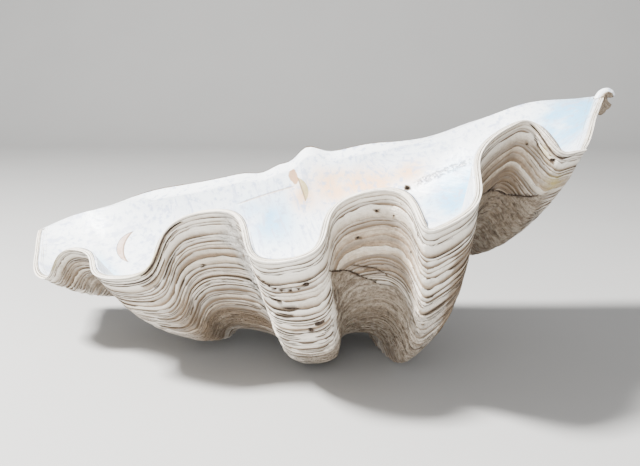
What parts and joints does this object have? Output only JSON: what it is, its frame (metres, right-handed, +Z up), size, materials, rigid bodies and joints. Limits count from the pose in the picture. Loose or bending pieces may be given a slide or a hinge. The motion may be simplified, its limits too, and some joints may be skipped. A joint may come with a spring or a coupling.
{
  "type": "giant clam shell",
  "caption": "One valve of a giant clam: a deep ribbed bowl with a wavy edge, lying hollow side up on its ribs.",
  "frame": {"origin": "middle of the valve's bounding box, on the surface it stands on", "axes": "+Z up out of the hollow, +X towards the long raised tip, -Y towards the wavy edge"},
  "size_m": [0.4264, 0.2638, 0.1766],
  "materials": {
    "shell": "chalky layered outside, porcelain-smooth white inside"
  },
  "bodies": {
    "root": {"valve": "shell"}
  },
  "joints": []
}
